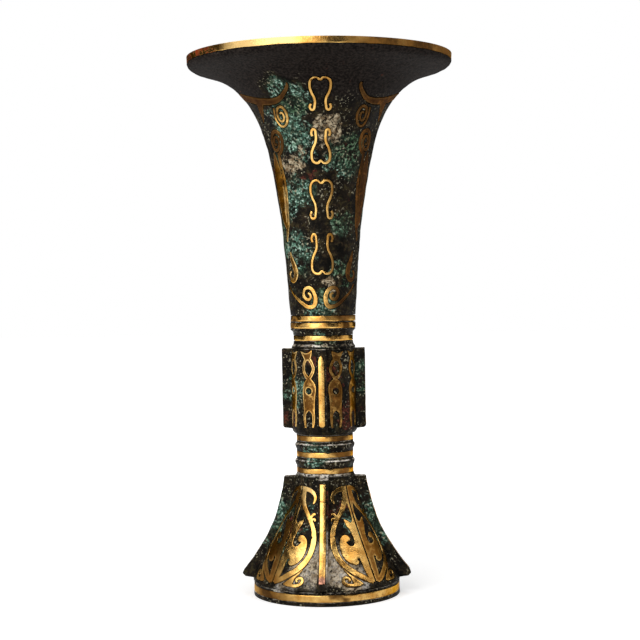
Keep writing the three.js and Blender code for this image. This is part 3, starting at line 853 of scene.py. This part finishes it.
KNEE = (29.2, 245.9)
INNER_STOP = 12
COLLAR_STEP = 0.8
mouth_low = (COLLAR_RADIUS, COLLAR_HIGH + FIT_GAP)
mouth_high = (RIM_RADIUS, RIM_BAND_BASE - FIT_GAP)
mouth_outline = (bend(mouth_low, KNEE, (0.275, 0.472), (0.623, 0.338), 50)
                 + bend(KNEE, mouth_high, (0.2425, 1.04), (0.009, 0.1766), 60)[1:])
MOUTH_WALL = Wall(mouth_outline, 24)


def groove(radius, base, top):
    """Profile points of a groove for a gold band in a wall of one radius, from below to above."""
    bottom = radius - GOLD_THICKNESS - FIT_GAP
    low, high = base - FIT_GAP, top + FIT_GAP
    return [(radius, low), (bottom, low), (bottom, high), (radius, high)]


def mouth_profile():
    """The trumpet's section. The inside follows the outside, thicker towards the lip, and stops short of it."""
    inner = []
    for i, point in enumerate(mouth_outline[:-INNER_STOP]):
        share = i / (len(mouth_outline) - INNER_STOP - 1)
        thickness = WALL_THICKNESS + (LIP_THICKNESS - WALL_THICKNESS) * share ** 2
        inner.append(point - MOUTH_WALL.normals[i] * thickness)
    collar_base = COLLAR_LOW - COLLAR_STEP
    seat = RIM_RADIUS - GOLD_THICKNESS - FIT_GAP
    spigot = CUP_BORE + SPIGOT_WALL
    return [
        (spigot, MOUTH_BASE - SPIGOT_LENGTH), (spigot, MOUTH_BASE),
        (RECESS_RADIUS + 1.2, MOUTH_BASE), (RECESS_RADIUS + 1.1, MOUTH_BASE + 0.9),
        (RECESS_RADIUS + 0.3, MOUTH_BASE + 1.8), (RECESS_RADIUS, MOUTH_BASE + 2.6),
        *groove(RECESS_RADIUS, RECESS_LOW, RECESS_HIGH),
        (RECESS_RADIUS, collar_base - 1.9), (RECESS_RADIUS + 0.4, collar_base - 1),
        (COLLAR_RADIUS, collar_base),
        *groove(COLLAR_RADIUS, COLLAR_LOW, COLLAR_FIRST_TOP),
        *groove(COLLAR_RADIUS, COLLAR_SECOND, COLLAR_HIGH)[:-1],
        *mouth_outline,
        (seat, RIM_BAND_BASE - FIT_GAP), (seat, RIM_TOP), (seat - RIM_LAND, RIM_TOP),
        *reversed(inner),
        (CUP_BORE, collar_base), (CUP_BORE, MOUTH_BASE - SPIGOT_LENGTH),
    ]


def mirrored(stations):
    return [(-x, y, width) for x, y, width in stations]


cloud_half = MOUTH_WALL.line(
    (56.4, 280.4, 0.9), (54, 278.8, 1.7), (46.2, 275, 2.4), (41.5, 273, 3), (36.7, 272.2, 3.5),
    (30.5, 272.3, 3.9), (22, 273.8, 4.2), (12, 276.4, 4.8))
cloud_middle = (0, MOUTH_WALL.at_height(278)[1], 0.125)
cloud_spike = MOUTH_WALL.line((26, 273.6, 7), (21, 268.5, 3.8), (16.2, 262.5, 0.5))
CLOUD = {"strokes": [[*cloud_half, cloud_middle, *mirrored(reversed(cloud_half))],
                     cloud_spike, mirrored(cloud_spike)]}
UPPER_VOLUTE = {"strokes": [
    MOUTH_WALL.volute(34.7, 264.6, 4.8, 0.8, 1.95, 145, (1, 1.35, 1.25, 1.1, 0.9), 1.6, 0.05)]}
LONG_STEM = {
    "strokes": [
        MOUTH_WALL.volute(22.9, 251, 5.6, 0.9, 2.05, -78, (2, 1.8, 1.5, 1.2, 1), 1.32, 0.15),
        MOUTH_WALL.line(
            (22.4, 245.4, 1.9), (21.5, 241.5, 2.1), (21.2, 234.4, 2.1), (20.6, 227.8, 1.8), (18.9, 220.3, 2),
            (17.4, 213, 1.9), (16.1, 206.6, 2.2), (14.2, 202, 2), (12.6, 197, 0.7))],
    "patches": [MOUTH_WALL.patch(
        (17.6, 246.2, True), (13, 238), (9.9, 228), (9.4, 218), (10.9, 208.5), (15.4, 201.6, True),
        (15.3, 206.5), (15.8, 213), (17.1, 220), (18.8, 228), (19.5, 236))]}
LEAF_CURL = {"strokes": [MOUTH_WALL.line(
    (13.6, 191.2, 0.6), (14.3, 187.4, 2.4), (15.9, 183, 3.4), (16.6, 179.2, 3.3), (15.3, 176.2, 2.7),
    (12.9, 175.2, 2.1), (11, 176.8, 1.7), (11, 179.4, 1.4), (12.6, 180.4, 1))]}
LOW_VOLUTE = {"strokes": [MOUTH_WALL.line(
    (7.6, 173, 0.7), (11.6, 168.4, 1.2), (15.4, 165.2, 1.5), (19, 162.4, 1.8), (22.5, 160.8, 2.1),
    (25.2, 161.2, 2.4), (26.9, 164.2, 2.4), (26.9, 168, 2.1), (25.2, 170.7, 1.9), (22.4, 171.2, 1.8),
    (20.3, 169.3, 1.7), (20.3, 166.6, 1.7), (22, 164.9, 1.6), (23.9, 165.6, 1.5), (24.2, 167.6, 1.3),
    (22.9, 168.4, 1))]}

COLUMN_TURN = math.radians(4)
COLUMN_STROKE = 1.25
LYRE = [(0, 0.08), (0.32, 0.02), (0.8, 0.06), (0.98, 0.24), (0.82, 0.44), (0.56, 0.6), (0.52, 0.8),
        (0.74, 0.96), (0.98, 0.88), (0.89, 0.77)]
HEART = [(across, 1 - up) for across, up in LYRE]
COLUMN = [(178.5, 201.4, 6, LYRE), (208.1, 230, 6.2, HEART), (238.5, 257.4, 5.2, LYRE),
          (265.9, 282.6, 5.8, HEART)]

# The trumpet's ornaments, and how many degrees further round the vase than the centre line of the right and of
# the left side each was laid
SIDE_MOTIFS = {"cloud": (CLOUD, 14, 0), "upper_volute": (UPPER_VOLUTE, 12, 0), "long_stem": (LONG_STEM, 13, -3),
               "leaf_curl": (LEAF_CURL, 6, -1), "low_volute": (LOW_VOLUTE, 0, 0)}


def column_figure(low, high, half, stations):
    """A curling stroke and its mirror image, joined where they meet on the figure's middle line."""
    placed = []
    for across, up in stations:
        placed.append(MOUTH_WALL.station(across * half, low + (high - low) * up, COLUMN_STROKE))
    return {"strokes": [mirrored(reversed(placed)) + placed[1:]]}


def make_mouth():
    body = turned("mouth", mouth_profile())
    soften(body, 0.3)
    casting = InlaidCasting(body)
    for stem, (motif, right_drift, left_drift) in SIDE_MOTIFS.items():
        right, left = QUARTER + math.radians(right_drift), -QUARTER + math.radians(left_drift)
        if stem == "cloud":
            places = [("cloud_right", right, 1), ("cloud_left", left, 1)]
        else:
            places = [(f"{stem}_right_front", right, -1), (f"{stem}_right_back", right, 1),
                      (f"{stem}_left_front", left, 1), (f"{stem}_left_back", left, -1)]
        casting.lay(MOUTH_WALL, motif, places)
    for i, figure in enumerate(COLUMN):
        casting.lay(MOUTH_WALL, column_figure(*figure), [(f"column_scroll_{i + 1}", COLUMN_TURN, 1)])
    casting.finish("mouth_casting")


# Knop

KNOP_SHOULDER = 2.6
KNOP_FOOT = KNOP_BASE + KNOP_SHOULDER
KNOP_WALL = Wall([Vector((KNOP_RADIUS, KNOP_FOOT)), Vector((KNOP_RADIUS, KNOP_TOP))], KNOP_RADIUS)
KNOP_SCROLL = {
    "strokes": [
        KNOP_WALL.line(
            (5.3, 132.4, 1.7), (3.6, 129, 1.5), (3.5, 126, 1.5), (4.9, 122.9, 1.7), (7.3, 120.6, 1.9),
            (9.5, 118.2, 1.7), (10.1, 115, 1.6), (9.6, 111.5, 1.7), (9.2, 104, 1.6), (9.4, 99, 1.5),
            (9, 94.2, 1)),
        KNOP_WALL.line(
            (6.9, 132.4, 1.7), (9, 129, 1.5), (9.6, 126.3, 1.5), (8.5, 123.5, 1.7), (6.7, 121, 1.9),
            (4.6, 118.5, 1.7), (3.6, 115.1, 1.6), (3.7, 111.5, 1.7), (4, 104, 1.6), (3.7, 99, 1.5),
            (4.3, 94.2, 1))],
    "patches": [
        KNOP_WALL.patch(
            (1.6, 136.3, True), (3.4, 135.6), (5.3, 135.2), (7.2, 135.7), (8.8, 136.8, True), (8.6, 134.4),
            (7.4, 131.6), (4.8, 131.4), (3.1, 133.6)),
        KNOP_WALL.patch(
            (5, 119.6), (7, 121.4), (9.2, 119.4), (10.1, 116), (9.8, 111.8), (9.2, 105), (9, 100.6, True),
            (7.8, 102.6), (6.6, 103.4), (5.4, 102.6), (4.1, 100.6, True), (4, 105), (3.7, 111.8), (3.7, 116))],
    "holes": [KNOP_WALL.hole(6.7, 114.4, 1.9)]}


def make_knop():
    socket_above = CUP_BORE + SPIGOT_WALL + FIT_GAP
    socket_below = NECK_BORE + SPIGOT_WALL + FIT_GAP
    underside = CUP_FLOOR - FLOOR_THICKNESS
    stem_end = KNOP_BASE + SPIGOT_LENGTH + FIT_GAP
    body = turned("knop", stepped([
        (NECK_RADIUS, KNOP_BASE), (NECK_RADIUS + 1.2, KNOP_BASE + 0.5), (KNOP_RADIUS - 0.4, KNOP_BASE + 1.4),
        (KNOP_RADIUS, KNOP_FOOT), (KNOP_RADIUS, KNOP_TOP),
        (socket_above, KNOP_TOP), (socket_above, KNOP_TOP - SPIGOT_LENGTH),
        (CUP_BORE, KNOP_TOP - SPIGOT_LENGTH), (CUP_BORE, CUP_FLOOR + 2), (CUP_BORE - 3, CUP_FLOOR),
        (0, CUP_FLOOR), (0, underside), (NECK_BORE, underside), (NECK_BORE, stem_end),
        (socket_below, stem_end), (socket_below, KNOP_BASE),
    ], 2))
    soften(body, 0.3)
    root = KNOP_RADIUS - 0.8
    fin = plate("knop_fin", stepped([
        (root, KNOP_FOOT), (KNOP_FLANGE_RADIUS - 1, KNOP_FOOT + 0.4),
        (KNOP_FLANGE_RADIUS, KNOP_FOOT + 1.2), (KNOP_FLANGE_RADIUS, KNOP_TOP), (root, KNOP_TOP),
    ], 1.2), FLANGE_WIDTH)
    add_flanges(body, fin, 0.5)
    casting = InlaidCasting(body)
    casting.lay(KNOP_WALL, KNOP_SCROLL, quadrant_places("knop_scroll"))
    make_knop_strips(casting)
    casting.finish("knop_casting")


def quadrant_places(stem):
    """The mirrored pair in each quadrant: a towards the flange before its middle line, b towards the next."""
    places = []
    for i, side in enumerate(SIDES):
        middle = EIGHTH + i * QUARTER
        following = SIDES[(i + 1) % 4]
        places += [(f"{stem}_{side}_{following}_a", middle, -1), (f"{stem}_{side}_{following}_b", middle, 1)]
    return places


def make_knop_strips(casting):
    """Straight strips let into the crests of the knop's flanges, pointed at the top and round at the foot."""
    low = KNOP_FOOT + 2.4
    high = KNOP_TOP - 3.4

    def strip(name, grow, outer, depth):
        half = STRIP_WIDTH / 2 + grow
        outline = [(-half * 0.6, low - grow + 0.2), (0, low - grow), (half * 0.6, low - grow + 0.2),
                   (half, low + 1), (half, high - 3.2), (half * 0.6, high - 0.8),
                   (0, high + grow), (-half * 0.6, high - 0.8), (-half, high - 3.2), (-half, low + 1)]
        piece = plate(name, stepped(outline, 2), depth)
        outwards = Matrix.Translation(((outer - depth / 2) * MM, 0, 0))
        piece.data.transform(outwards @ Matrix.Rotation(QUARTER, 4, "Z"))
        return piece

    casting.lay_strips("knop_strip", strip("recess", GROOVE_GAP, KNOP_FLANGE_RADIUS + 1, GROOVE_DEPTH + 1),
                       strip("strip", 0, KNOP_FLANGE_RADIUS, GOLD_THICKNESS))


# Foot

bell_high, bell_low = (BELL_TOP_RADIUS, BELL_TOP), (BELL_EDGE_RADIUS, BELL_EDGE)
BELL_WALL = Wall(bend(bell_high, bell_low, (-0.0355, 0.205), (0.454, 0.389), 48)[::-1], 28)
CREST_END = 2.4
CREST_TOP_RADIUS = 23.5
CREST_FOOT_RADIUS = 47.6
CREST_OUTLINE = bend(
    (CREST_TOP_RADIUS, BELL_TOP - CREST_END), (CREST_FOOT_RADIUS - 1, BELL_EDGE + 2 * CREST_END),
    (0.136, 0.352), (0.664, 0.3745), 40)[::-1]
NECK_RIDGE = [(0, -1.9), (0.5, -1.1), (0.85, 0), (0.8, 1), (0.2, 1.3), (0, 1.9)]
FOOT_RING_WIDTH = 3.4
NECK_BORE_END = 8
CRACK = (0, -25.4, 54.3)
CRACK_SIZE = (8, 5, 0.4)
BELL_SCROLL = {
    "strokes": [
        BELL_WALL.line(
            (1.4, 60.4, 2.2), (4, 59.9, 2.2), (7, 58.9, 2), (9.3, 57, 1.7), (10.2, 54.6, 1.4),
            (9.8, 52.3, 0.7)),
        BELL_WALL.line(
            (2, 60.2, 3), (2.3, 55.8, 3.4), (4.1, 51.7, 2.7), (7.8, 47.3, 2.2), (11, 43.7, 2.2),
            (14, 40.1, 2.2), (16.1, 36.4, 2.5), (17.5, 32.2, 2.8), (18, 28, 2.8), (17.3, 23.8, 2.9),
            (15.2, 20.3, 3), (12, 17.4, 3), (8.3, 14.9, 3), (4.5, 12.7, 2.7), (1.6, 11.2, 1.6)),
        BELL_WALL.line((10.6, 44.2, 1.5), (11.2, 46.2, 1.2), (12, 47, 1.1), (12.9, 46.8, 0.8)),
        BELL_WALL.line((11.2, 43.4, 1.4), (12.5, 44.4, 1.2), (13.4, 44.3, 1.1), (13.9, 43.4, 0.8)),
        BELL_WALL.line(
            (13.2, 10.9, 1.5), (16.1, 10.8, 1.6), (18.4, 11.5, 1.5), (19.4, 13.1, 1.4), (18.3, 14.6, 1.3),
            (16.5, 14.6, 1.2), (15.7, 13.6, 1.1), (16.4, 12.8, 0.9))],
    "patches": [
        BELL_WALL.patch(
            (0.5, 61.6, True), (2.2, 60.3), (2.4, 54), (1.8, 50), (1.5, 46), (1.9, 42.8), (3.1, 42),
            (4.9, 42.9), (6.9, 44, True), (6.6, 41.2), (5.5, 38.3), (4.8, 35.6), (4.6, 33.2), (5.2, 31.3),
            (6.6, 30.2), (8.3, 30.2), (9.6, 31.2), (9.8, 32.6), (8.6, 32.8), (7.3, 33.6), (7.5, 35.1),
            (9.2, 35.9), (11.4, 35.2), (13.2, 33.3), (14.3, 30.6), (14.7, 27.5), (14.1, 24.4), (12.4, 22),
            (10, 20.9), (7.8, 20.9), (6.5, 22.1), (7, 23.4), (5.6, 23.8), (5, 22.2), (4.8, 19.6), (4.4, 16.6),
            (3.6, 13.8), (1.8, 11.3, True), (0.5, 11.3, True)),
        BELL_WALL.patch(
            (17.2, 19.2, True), (15.1, 16.9), (12.6, 14.7), (10.2, 12.9), (8.3, 11, True), (10.8, 10.3),
            (13.7, 10.3, True), (14, 12.2), (14.4, 14.4), (15.8, 16.8))],
    "holes": [BELL_WALL.hole(14.9, 35, 0.9)]}


def within_bell(depth):
    """The bell's profile, moved inwards."""
    return [point - normal * depth for point, normal in zip(BELL_WALL.outline, BELL_WALL.normals)]


def make_foot():
    spigot = NECK_BORE + SPIGOT_WALL
    hollow = FOOT_RADIUS - FOOT_RING_WIDTH
    neck = []
    for i, (low, high) in enumerate(NECK_BANDS):
        neck += groove(NECK_RADIUS, low, high)
        if i + 1 < len(NECK_BANDS):
            middle = (high + NECK_BANDS[i + 1][0]) / 2
            neck += [(NECK_RADIUS + out, middle + up) for out, up in NECK_RIDGE]
    inner = [point for point in within_bell(WALL_THICKNESS) if point.x > NECK_BORE and point.y > BELL_EDGE + 1]
    body = turned("foot", stepped([
        (FOOT_RADIUS, 0), *groove(FOOT_RADIUS, FOOT_BAND_LOW, FOOT_BAND_HIGH),
        (FOOT_RADIUS, BELL_EDGE - 1.4), (FOOT_RADIUS - 1.2, BELL_EDGE - 1),
        *BELL_WALL.outline, *neck, (NECK_RADIUS, NECK_TOP),
        (spigot, NECK_TOP), (spigot, NECK_TOP + SPIGOT_LENGTH), (NECK_BORE, NECK_TOP + SPIGOT_LENGTH),
        (NECK_BORE, BELL_TOP - NECK_BORE_END), *reversed(inner), (hollow, BELL_EDGE - 1), (hollow, 0),
    ], 2))
    soften(body, 0.25)
    fin = plate("bell_fin", [
        *within_bell(WALL_THICKNESS / 2),
        (CREST_TOP_RADIUS - 0.8, BELL_TOP), (CREST_TOP_RADIUS - 0.1, BELL_TOP - 0.8),
        *reversed(CREST_OUTLINE), (CREST_FOOT_RADIUS, BELL_EDGE + CREST_END),
        (CREST_FOOT_RADIUS - 1.6, BELL_EDGE + 0.8), (BELL_EDGE_RADIUS, BELL_EDGE)], FLANGE_WIDTH)
    add_flanges(body, fin, 0.4)
    casting = InlaidCasting(body)
    casting.lay(BELL_WALL, BELL_SCROLL, quadrant_places("bell_scroll"))
    make_bell_strips(casting)
    casting.finish("foot_casting")


def crack_tool():
    """A thin slanting blade where the front strip has split across."""
    blade = added(bpy.ops.mesh.primitive_cube_add, size=1)
    tilt = Matrix.Rotation(math.radians(9), 4, "Y") @ Matrix.Rotation(math.radians(-14), 4, "X")
    size = Matrix.Diagonal((*(side * MM for side in CRACK_SIZE), 1))
    blade.data.transform(Matrix.Translation(Vector(CRACK) * MM) @ tilt @ size)
    return blade


def make_bell_strips(casting):
    """Curved strips let into the crests of the bell's flanges."""
    normals = side_normals(CREST_OUTLINE)

    def offset(distance):
        return [point + normal * distance for point, normal in zip(CREST_OUTLINE, normals)]

    def strip(name, outer, inner, grow):
        over, under = offset(outer), offset(-inner)
        for line in (over, under):
            line[0] += (line[0] - line[1]).normalized() * grow
            line[-1] += (line[-1] - line[-2]).normalized() * grow
        return plate(name, [*over, *reversed(under)], STRIP_WIDTH + 2 * grow)

    casting.lay_strips("bell_strip", strip("recess", 1, GROOVE_DEPTH, GROOVE_GAP),
                       strip("strip", 0, GOLD_THICKNESS, 0), crack_tool())


def make_band(node):
    radius, low, high = ring_of(node)
    inner = radius - GOLD_THICKNESS
    band = turned(f"gold_{node}", stepped([(radius, low), (radius, high), (inner, high), (inner, low)], 1))
    soften(band, 0.2)
    add_piece(band, node, "gold")


# The vase

make_mouth()
make_knop()
make_foot()
for band in ("rim_band", "recess_band", "collar_band_1", "collar_band_2",
             "neck_band_1", "neck_band_2", "neck_band_3", "foot_band"):
    make_band(band)
bpy.data.objects.remove(NIB)

# Studio

CAMERA_DISTANCE = 0.846
CAMERA_TURN = math.radians(3.5)
CAMERA_HEIGHT = 0.1755
CAMERA_DIP = math.radians(1.519)
CAMERA_ROLL = math.radians(0.88)
IMAGE_SIDE = 640
FOCAL_PIXELS = 1509
AXIS_PIXEL = (323, 320)
ROOM_LIGHT = 0.19
FLOOR_GLOW = (0.45, 1)
FLOOR_GLOW_REACH = (0.1, 0.45)
CARD_HEIGHT = 1.3
CARD_DISTANCE = 1.25


def make_camera():
    data = bpy.data.cameras.new("camera")
    data.sensor_width = 36
    data.lens = data.sensor_width * FOCAL_PIXELS / IMAGE_SIDE
    data.shift_x = (IMAGE_SIDE / 2 - AXIS_PIXEL[0]) / IMAGE_SIDE
    data.shift_y = (AXIS_PIXEL[1] - IMAGE_SIDE / 2) / IMAGE_SIDE
    camera = bpy.data.objects.new("camera", data)
    place = Matrix.Rotation(CAMERA_TURN, 4, "Z") @ Matrix.Translation((0, -CAMERA_DISTANCE, CAMERA_HEIGHT))
    aim = Matrix.Rotation(math.radians(90) - CAMERA_DIP, 4, "X") @ Matrix.Rotation(-CAMERA_ROLL, 4, "Z")
    camera.matrix_world = place @ aim
    bpy.context.collection.objects.link(camera)
    bpy.context.scene.camera = camera


def add_lamp(name, place, aim, size, power):
    data = bpy.data.lights.new(name, "AREA")
    data.shape = "RECTANGLE"
    data.size, data.size_y = size
    data.energy = power
    lamp = bpy.data.objects.new(name, data)
    lamp.location = place
    lamp.rotation_euler = (Vector(aim) - Vector(place)).to_track_quat("-Z", "Y").to_euler()
    bpy.context.collection.objects.link(lamp)


def shown(shop):
    """1 for rays that show the background itself or a mirror image of it."""
    path = shop.node("ShaderNodeLightPath").outputs
    return shop.most(shop.most(path["Is Camera Ray"], path["Is Glossy Ray"]), path["Is Transmission Ray"])


def make_world():
    world = bpy.data.worlds.new("studio")
    world.use_nodes = True
    world.node_tree.nodes.clear()
    shop = Shop(world.node_tree)
    light = shop.mix(shown(shop), (ROOM_LIGHT, ROOM_LIGHT, ROOM_LIGHT), (1, 1, 1))
    background = shop.node("ShaderNodeBackground", {"Color": light})
    shop.node("ShaderNodeOutputWorld", {"Surface": background.outputs[0]})
    bpy.context.scene.world = world


def make_floor():
    """A pale floor that shows white away from the vase and keeps its shadow near it."""
    floor = added(bpy.ops.mesh.primitive_plane_add, size=8, location=(0, 0, 0))
    floor.name = "floor"
    material, shop, surface = new_material("pale floor")
    away = shop.vector("LENGTH", shop.place)["Value"]
    glow = shop.times(shop.ramp(away, *FLOOR_GLOW_REACH), FLOOR_GLOW[1] - FLOOR_GLOW[0])
    glow = shop.times(shop.plus(glow, FLOOR_GLOW[0]), shown(shop))
    shop.feed(surface, {"Base Color": (0.8, 0.8, 0.8), "Roughness": 0.9, "Specular IOR Level": 0.0,
                        "Emission Strength": 1, "Emission Color": glow})
    floor.data.materials.append(material)


def add_dark_card(name, turn, wide, material):
    """A dark card that only the gold's mirror image shows, as a photographer sets one beside metal."""
    card = added(bpy.ops.mesh.primitive_plane_add, size=1)
    card.name = name
    upright = Matrix.Rotation(QUARTER, 4, "X") @ Matrix.Diagonal((wide, CARD_HEIGHT, 1, 1))
    turned_by = Matrix.Rotation(math.radians(turn) + CAMERA_TURN, 4, "Z")
    card.data.transform(turned_by @ Matrix.Translation((0, -CARD_DISTANCE, CARD_HEIGHT / 2)) @ upright)
    card.data.materials.append(material)
    card.visible_camera = card.visible_diffuse = card.visible_shadow = False


make_camera()
make_world()
make_floor()
dark, shop, surface = new_material("dark card")
shop.feed(surface, {"Base Color": (0.05, 0.045, 0.04), "Roughness": 0.9})
for side, turn, wide in (("front_right", 40, 1.7), ("right_rear", 150, 1.5), ("rear", -150, 1.7),
                         ("left", -97, 1)):
    add_dark_card(f"card_{side}", turn, wide, dark)
add_lamp("key", (-0.45, -0.94, 0.66), (0, 0, 0.14), (0.9, 1.25), 10)
add_lamp("high_right", (0.58, -0.32, 0.84), (0, 0, 0.04), (0.6, 0.6), 2.4)
add_lamp("high_left", (-0.66, -0.22, 0.84), (0, 0, 0.04), (0.5, 0.5), 1.8)
add_lamp("top", (0.0, 0.15, 1), (0, 0, 0.2), (0.6, 0.6), 2.2)
bpy.context.scene.view_settings.view_transform = "Standard"
